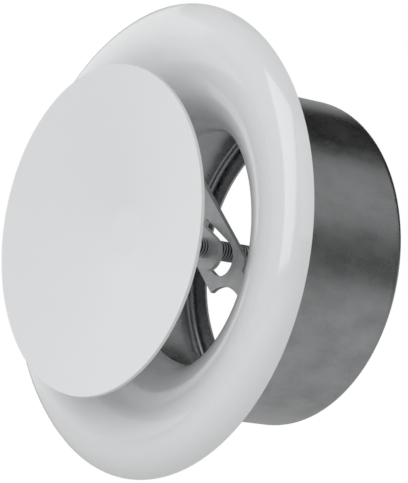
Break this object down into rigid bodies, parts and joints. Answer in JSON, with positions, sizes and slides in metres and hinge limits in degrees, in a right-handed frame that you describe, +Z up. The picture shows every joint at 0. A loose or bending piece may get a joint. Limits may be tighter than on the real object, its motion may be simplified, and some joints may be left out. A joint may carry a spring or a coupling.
{
  "type": "ventilation disc valve",
  "caption": "Round ventilation disc valve: a dished disc on a threaded spindle sets the air gap in a bell-mouthed ring held in a duct sleeve.",
  "frame": {"origin": "on the valve's axis, in the plane of the wall, where the sleeve's spigot starts", "axes": "+Y along the axis into the duct, the disc faces -Y, +Z up"},
  "size_m": [0.14, 0.0746, 0.14],
  "materials": {
    "white_paint": "smooth white powder coat, low gloss",
    "galvanised_sheet": "dull galvanised sheet",
    "zinc_strip": "galvanised strip",
    "plated_thread": "dark zinc-plated thread",
    "zinc_fastener": "bright zinc plate",
    "spring_steel": "blued spring strip",
    "foam": "closed-cell foam"
  },
  "bodies": {
    "duct_frame": {"mounting_sleeve": "galvanised_sheet"},
    "valve": {"face_ring": "white_paint", "ring_gasket": "foam", "crossbar": "zinc_strip", "crossbar_rivet_1": "zinc_fastener", "crossbar_rivet_2": "zinc_fastener", "retaining_spring_1": "spring_steel", "retaining_spring_2": "spring_steel", "retaining_spring_3": "spring_steel", "spring_rivet_1": "zinc_fastener", "spring_rivet_2": "zinc_fastener", "spring_rivet_3": "zinc_fastener"},
    "disc_carrier": {"disc_backing_washer": "zinc_fastener"},
    "disc_group": {"disc": "white_paint", "spindle": "plated_thread"},
    "nut_carrier": {"lock_washer": "zinc_fastener"},
    "nut": {"lock_nut": "zinc_fastener"}
  },
  "joints": [
    {"name": "valve_pull", "type": "slide", "parent": "duct_frame", "child": "valve", "axis": [0, -1, 0], "range_m": [0, 0.03]},
    {"name": "disc_travel", "type": "slide", "parent": "valve", "child": "disc_carrier", "axis": [0, 1, 0], "range_m": [-0.008, 0.017]},
    {"name": "disc_turn", "type": "hinge", "parent": "disc_carrier", "child": "disc_group", "pos_m": [0, 0, 0], "axis": [0, 1, 0], "range_deg": [-2884, 6124]},
    {"name": "nut_travel", "type": "slide", "parent": "disc_group", "child": "nut_carrier", "axis": [0, 1, 0], "range_m": [-0.003, 0.003]},
    {"name": "nut_turn", "type": "hinge", "parent": "nut_carrier", "child": "nut", "pos_m": [0, 0.0442, 0], "axis": [0, 1, 0], "range_deg": [-1084, 1084]}
  ],
  "couplings": [
    {"joint": "disc_turn", "follows": "disc_travel", "rad_per_m": 6283.2},
    {"joint": "nut_turn", "follows": "nut_travel", "rad_per_m": 6283.2}
  ]
}
